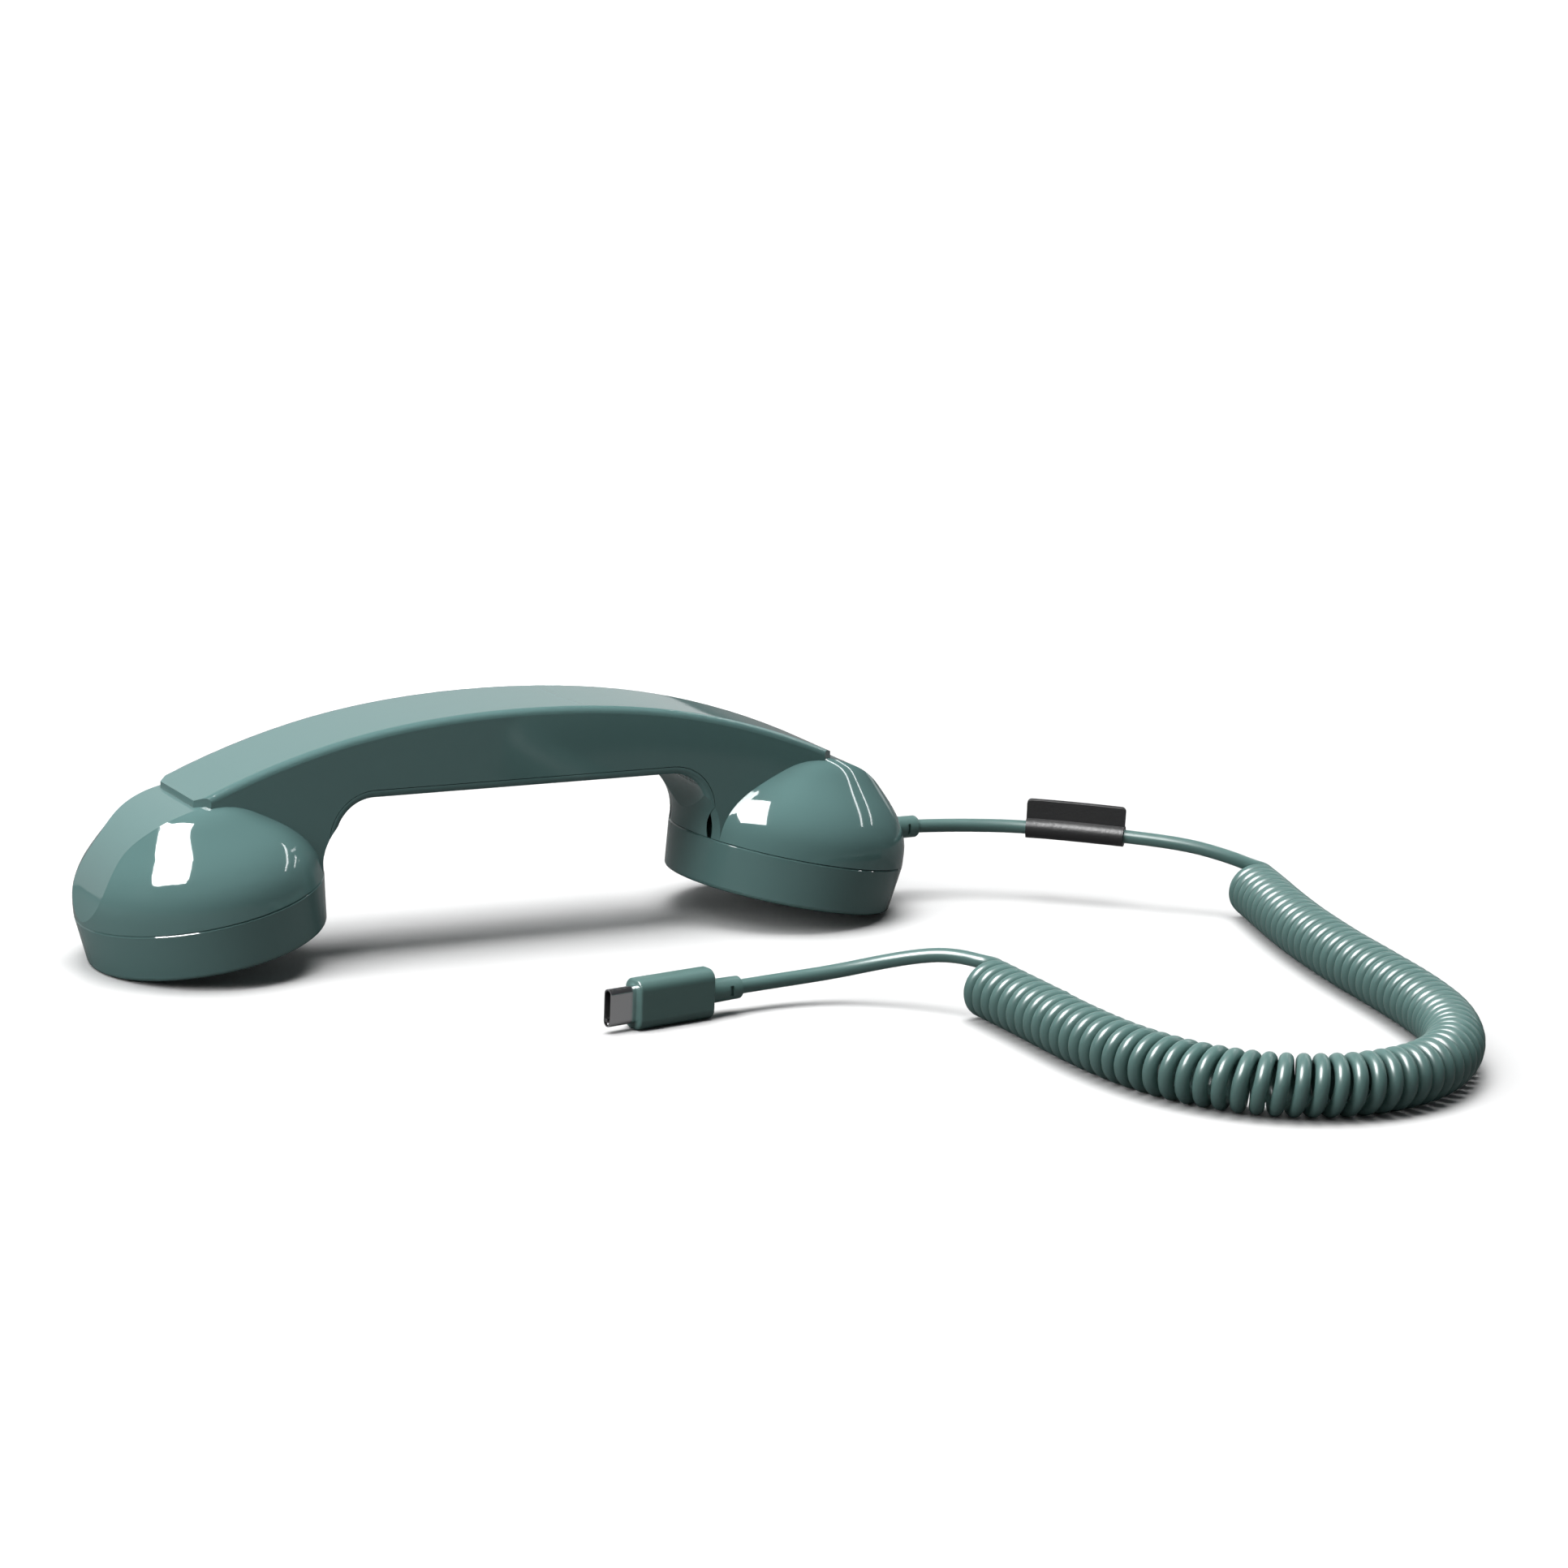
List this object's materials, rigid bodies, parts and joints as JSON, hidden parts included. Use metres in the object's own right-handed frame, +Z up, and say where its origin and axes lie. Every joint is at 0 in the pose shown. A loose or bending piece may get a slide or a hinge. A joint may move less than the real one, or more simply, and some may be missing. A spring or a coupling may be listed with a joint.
{
  "type": "telephone handset",
  "caption": "Handset of glossy plastic with two tilted round caps, a curly cord and a reversible plug, standing on the outer edges of its caps",
  "frame": {"origin": "Centre of the footprint of the handset without its cord, on the floor it stands on.", "axes": "+X runs along the handset from the ear end to the mouth end, +Y points away from the side seen in the picture, +Z is up."},
  "size_m": [0.2831, 0.2302, 0.055],
  "materials": {
    "shell_plastic": "glossy sage green moulding",
    "button_plastic": "glossy sage green",
    "black_plastic": "matt black",
    "socket_plastic": "plain off white",
    "board_laminate": "green solder mask",
    "mesh_fabric": "fine woven mesh",
    "soft_rubber": "soft matt",
    "diaphragm_film": "thin clear film",
    "capsule_aluminium": "plain",
    "screw_steel": "zinc plated",
    "plug_steel": "bright nickel",
    "tag_fabric": "fine grained black tape",
    "cord_plastic": "satin sage green"
  },
  "bodies": {
    "handset": {"outer_shell": "shell_plastic", "inner_cover": "shell_plastic", "cover_screws": "screw_steel", "ear_cap": "shell_plastic", "mouth_cap": "shell_plastic", "button_switch": "black_plastic", "circuit_board": "board_laminate", "audio_chip": "black_plastic", "wire_sockets": "socket_plastic", "ear_mesh": "mesh_fabric", "receiver_gasket": "soft_rubber", "receiver_frame": "black_plastic", "receiver_diaphragm": "diaphragm_film", "receiver_magnet": "screw_steel", "mouth_mesh": "mesh_fabric", "microphone_boot": "soft_rubber", "microphone_capsule": "capsule_aluminium", "cord_clamp": "screw_steel", "clamp_screws": "screw_steel", "cord_relief": "cord_plastic", "handset_lead": "cord_plastic", "cord_tag": "tag_fabric", "curly_cord": "cord_plastic", "plug_lead": "cord_plastic", "plug_relief": "cord_plastic", "plug_housing": "cord_plastic", "plug_shell": "plug_steel", "plug_contacts": "black_plastic"},
    "button": {"call_button": "button_plastic", "button_stem": "button_plastic"}
  },
  "joints": [
    {"name": "call_button_press", "type": "slide", "parent": "handset", "child": "button", "axis": [0, 0, 1], "range_m": [0, 0.0005], "stiffness_N_per_m": 800}
  ]
}
